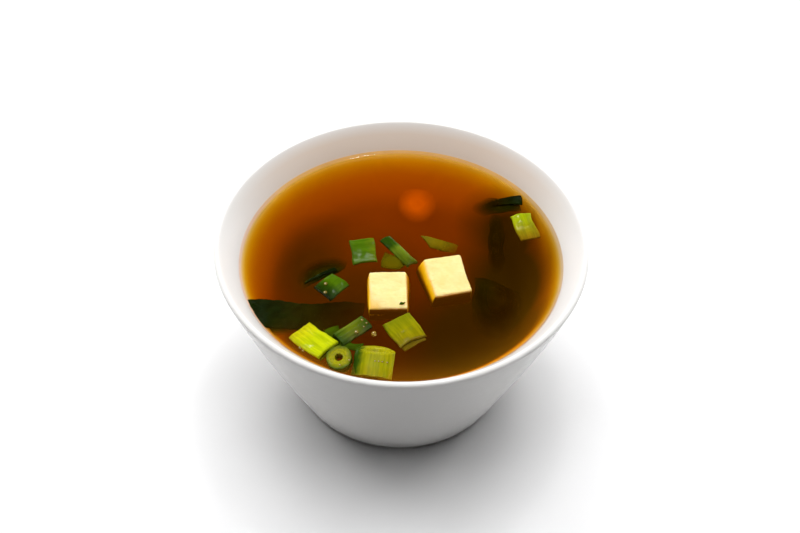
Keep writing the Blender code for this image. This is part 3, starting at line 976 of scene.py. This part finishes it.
def clear_film():
    """Bubbles and drops: a small painted glint near the top, and a painted pale ring round it, both glows.
    """
    n = Nodes("broth_bubble")
    swirl = n.noise(900, 2, 0.5)
    tint = n.ramp(swirl, [(0.3, (0.34, 0.20, 0.02)), (0.7, (0.48, 0.32, 0.05))])
    # Painted highlight: glows placed by which way the skin faces
    facing = n.vmath("DOT_PRODUCT", n.normal(), PAINTED_GLINT_SIDE)
    off_ring = n.math("ABSOLUTE", n.math("SUBTRACT", facing, 0.72))
    ring = n.mix(n.spread(off_ring, 0.16, 0.06), (0, 0, 0), (0.22, 0.17, 0.03))
    glint = n.mix(n.spread(facing, 0.955, 0.995), ring, (0.8, 0.75, 0.5))
    return n.done(n.shader(
        Base_Color=tint, Emission_Color=glint, Emission_Strength=1.0, Roughness=0.05,
        IOR=BROTH_IOR, Specular_IOR_Level=0.9, Transmission_Weight=0.8))


# -------- camera, floor and light
# The camera's target in mm, its tilt and roll in degrees, its distance in m and its lens in mm
LOOK_AT, TILT, ROLL, DISTANCE, LENS = (-0.33, 0, 51.37), 45.873, 1.0934, 0.54, 74.52
FLOOR_REACH = 2500.0
# Lamps, in m: place, width, length, watts, and whether glossy things mirror them
LAMPS = {
    "top_softbox": ((0, 0, 1.3), 1.0, 1.0, 16.5, False),
    "glint_lamp": ((0.12, 0.35, 1.2), 0.09, 0.09, 0.9, True),
    "back_softbox": ((0, 1.35, 0.5), 1.4, 0.4, 13.0, False),
    "left_back_softbox": ((-1.0, 0.9, 0.5), 0.6, 0.5, 8.0, False),
    "right_back_softbox": ((1.0, 0.9, 0.5), 0.6, 0.5, 6.0, False),
}
LAMPS_AIM = (0, 0, 0.03)
# The black card's west, south, east and north sides and its height, mm
BLACK_CARD = (-130, -600, 130, -76, 0.5)


def set_camera():
    """Looks down at the soup from the front, rolled a little to one side."""
    scene = bpy.context.scene
    scene.view_settings.view_transform = "Standard"
    scene.view_settings.look = "None"
    scene.view_settings.exposure = 0.0
    tilt, roll = math.radians(TILT), math.radians(ROLL)
    back = Vector((0, -math.cos(tilt), math.sin(tilt)))
    right = Vector((1, 0, 0))
    up = right.cross(-back)
    side = right * math.cos(roll) + up * math.sin(roll)
    top = -right * math.sin(roll) + up * math.cos(roll)
    camera = bpy.data.cameras.new("camera")
    camera.sensor_width = 36
    camera.lens = LENS
    camera.clip_start, camera.clip_end = 0.01, 20
    camera.dof.use_dof = False
    eye = bpy.data.objects.new("camera", camera)
    turn = Matrix((side, top, back)).transposed().to_4x4()
    eye.matrix_world = Matrix.Translation(Vector(LOOK_AT) * MM + back * DISTANCE) @ turn
    scene.collection.objects.link(eye)
    scene.camera = eye


def lay_floor():
    """A sheet of white paper that fills the view."""
    floor = flat_card("floor", -FLOOR_REACH, -FLOOR_REACH, FLOOR_REACH, FLOOR_REACH, 0)
    n = Nodes("floor_paper")
    grain = n.noise(30, 3, 0.5)
    colour = n.ramp(grain, [(0.3, (0.86, 0.86, 0.865)), (0.7, (0.88, 0.88, 0.885))])
    shader = n.shader(Base_Color=colour, Roughness=0.6, Specular_IOR_Level=0.2)
    floor.data.materials.append(n.done(shader))


def light_room():
    """The room is dim, except where glazed and wet things mirror its bright front half."""
    n = SkyNodes("studio")
    y, z = n.parts(n.place)[1:]
    bright = n.math("MAXIMUM", n.spread(y, 0.1, -0.4), n.spread(z, 0.15, 0.0))
    path = n.add("ShaderNodeLightPath")
    mirrored = n.times(path.outputs["Is Glossy Ray"], path.outputs["Is Reflection Ray"])
    dim = n.blend(mirrored, n.background(0.02), n.background(0.0))
    n.done(n.blend(n.times(mirrored, bright), dim, n.background(0.6)))


def hang_lamps():
    """Softboxes over and behind the bowl, and a small lamp for the glints."""
    for name, (place, width, length, watts, mirrored) in LAMPS.items():
        lamp = bpy.data.lights.new(name, "AREA")
        lamp.shape = "RECTANGLE"
        lamp.size, lamp.size_y = width, length
        lamp.energy = watts
        obj = bpy.data.objects.new(name, lamp)
        obj.location = place
        aim = Vector(LAMPS_AIM) - Vector(place)
        obj.rotation_euler = aim.to_track_quat("-Z", "Y").to_euler()
        obj.visible_glossy = mirrored
        bpy.context.scene.collection.objects.link(obj)


def lay_black_card():
    """A card on the floor, in front of the bowl and out of every view, that keeps its bounce down."""
    card = flat_card("black_card", *BLACK_CARD)
    n = Nodes("card_black")
    card.data.materials.append(n.done(n.shader(Base_Color=(0.25, 0.25, 0.25), Roughness=0.9)))
    card.visible_camera = False
    card.visible_glossy = False
    card.visible_shadow = False


# -------- the pieces
LEAF_TONES = {
    "scallion_back": [
        (0.0, (0.062, 0.13, 0.003)), (0.6, (0.068, 0.145, 0.003)), (1.0, (0.12, 0.17, 0.004))],
    "scallion_curl": [
        (0.0, (0.02, 0.055, 0.003)), (0.3, (0.03, 0.075, 0.003)),
        (0.5, (0.14, 0.20, 0.01)), (1.0, (0.07, 0.095, 0.003))],
    "scallion_wet": [
        (0.0, (0.01, 0.02, 0.002)), (0.35, (0.025, 0.06, 0.002)),
        (0.6, (0.068, 0.145, 0.002)), (1.0, (0.055, 0.12, 0.002))],
    "scallion_yellow": [
        (0.0, (0.44, 0.38, 0.004)), (0.2, (0.56, 0.54, 0.004)),
        (0.5, (0.50, 0.56, 0.003)), (1.0, (0.50, 0.56, 0.004))],
    "scallion_olive": [
        (0.0, (0.20, 0.21, 0.003)), (0.5, (0.27, 0.25, 0.002)), (1.0, (0.24, 0.19, 0.002))],
    "scallion_right": [
        (0.0, (0.42, 0.52, 0.004)), (0.5, (0.36, 0.34, 0.003)), (1.0, (0.30, 0.20, 0.002))],
}
OLIVE_UNDER_TONES = [(0.0, (0.10, 0.08, 0.002)), (1.0, (0.17, 0.12, 0.003))]
TUBE_TONES = {
    "scallion_stalk": [
        (0.0, (0.03, 0.075, 0.003)), (0.35, (0.13, 0.16, 0.005)),
        (0.6, (0.12, 0.15, 0.005)), (1.0, (0.025, 0.06, 0.004))],
    "scallion_ring": [
        (0.0, (0.20, 0.25, 0.003)), (0.6, (0.26, 0.27, 0.003)), (1.0, (0.32, 0.30, 0.004))],
    "scallion_wide_ring": [
        (0.0, (0.28, 0.23, 0.002)), (0.4, (0.32, 0.31, 0.002)), (1.0, (0.34, 0.31, 0.003))],
}
# The dark green skin shows from low to high mm along a piece's own y or z, or out from its x axis
DARK_SKIN = {
    "scallion_ring": ("out", 2.6, 3.9, 0.85),
    "scallion_wide_ring": ("y", 2.8, 5.0, 0.95),
    "scallion_stalk": ("z", 0.9, -1.2, 0.8),
}
# On the leaves the dark green over the lower side and edges is partly skin, partly painted shade
LEAF_SKIN_AND_SHADE = ("z", 0.1, -0.6, 0.85)
# What shows of weed that sinks, as a middle and a reach in mm. A frond that sinks by more than
# FLOATING_SINK mm has its middle FROND_HAZE_ALONG mm to the right of its place
LONG_FROND_HAZE = ((-44, -23, SOUP), (42, 40, 30))
FROND_HAZE_ALONG, FROND_HAZE_REACH, FLOATING_SINK = 4, (14, 10, 10), 1


def floating_pieces():
    """Tofu, scallion and wakame at the surface; gives back those that the broth climbs."""
    curd, weed = tofu(), wakame("wakame_leaf")
    floating = []
    for name, block in TOFU_BLOCKS.items():
        floating.append(dress(tofu_block(name + "_curd", block), curd, "tofu", name))
    for name, leaf in LEAVES.items():
        skin = scallion(name + "_skin", leaf, LEAF_TONES[name], LEAF_SKIN_AND_SHADE)
        floating.append(dress(scallion_leaf(name + "_leaf", leaf), skin, "scallion", name))
    skin = scallion("scallion_olive_under_skin", OLIVE_UNDER, OLIVE_UNDER_TONES, LEAF_SKIN_AND_SHADE)
    under = scallion_leaf("scallion_olive_under", OLIVE_UNDER, UNDER_LAYER_THICKNESS)
    floating.append(dress(under, skin, "scallion"))
    for name, tube in TUBES.items():
        skin = scallion(name + "_skin", tube, TUBE_TONES[name], DARK_SKIN[name])
        floating.append(dress(scallion_tube(name + "_cut", tube), skin, "scallion", name))
    sinking_weed = wakame("wakame_sinking", LONG_FROND_HAZE)
    dress(long_frond("wakame_left_leaf"), sinking_weed, "wakame", "wakame_left")
    for name, frond in FRONDS.items():
        skin = weed
        if frond.sink > FLOATING_SINK:
            middle = (frond.place[0] + FROND_HAZE_ALONG, frond.place[1], SOUP)
            skin = wakame(name + "_skin", (middle, FROND_HAZE_REACH))
        floating.append(dress(sinking_frond(name + "_leaf", frond), skin, "wakame", name))
    return floating


def sunk_pieces():
    """Leaves, weed and tofu under the surface, and a fleck on the tofu: all without solids."""
    for name, sunk in SUNK_LEAVES.items():
        skin = sunk_leaf(name + "_skin", sunk.tones, sunk.murk, (sunk.middle, sunk.reach))
        piece = patch(name, sunk.corners, SUNK_THICKNESS, (50, 40), sunk.lumps, sunk.arch)
        dress(piece, skin, name.split("_")[0])
    green = sunk_leaf("scallion_sunk_dark", GREEN_TONES)
    for name, corners in UNDER_LEAVES.items():
        dress(patch(name, corners, UNDER_LAYER_THICKNESS, (40, 16)), green, "scallion")
    dress(patch("weed_fleck", FLECK, FLECK_THICKNESS, (16, 10), FLECK_LUMPS), green, "wakame")
    block = patch("tofu_deep_curd", DEEP_TOFU, DEEP_TOFU_THICKNESS, (30, 30), DEEP_TOFU_LUMPS)
    dress(block, deep_curd(), "tofu")


def broth_pieces(floating):
    """The clear liquid, which climbs what floats in it, over the lining of the bowl."""
    surface = turned("broth_clear", broth_profile(), BROTH_SIDES)
    climb(surface, floating)
    dress(surface, clear_broth(), "broth", "broth")
    dress(turned("broth_depths", lining_profile(), LINING_SIDES), broth_lining(), "broth")


def drops():
    """Bubbles and drops on the broth and on what floats in it."""
    film = clear_film()
    for name, ((x, y, rise), radius, flatten) in DROPS.items():
        dress(ball(name, (x, y, SOUP + rise), radius, flatten), film, "broth")


set_camera()
lay_floor()
light_room()
hang_lamps()
lay_black_card()
dress(turned("bowl_glazed", bowl_profile()), porcelain(), "porcelain", "bowl")
toppings = floating_pieces()
sunk_pieces()
broth_pieces(toppings)
drops()
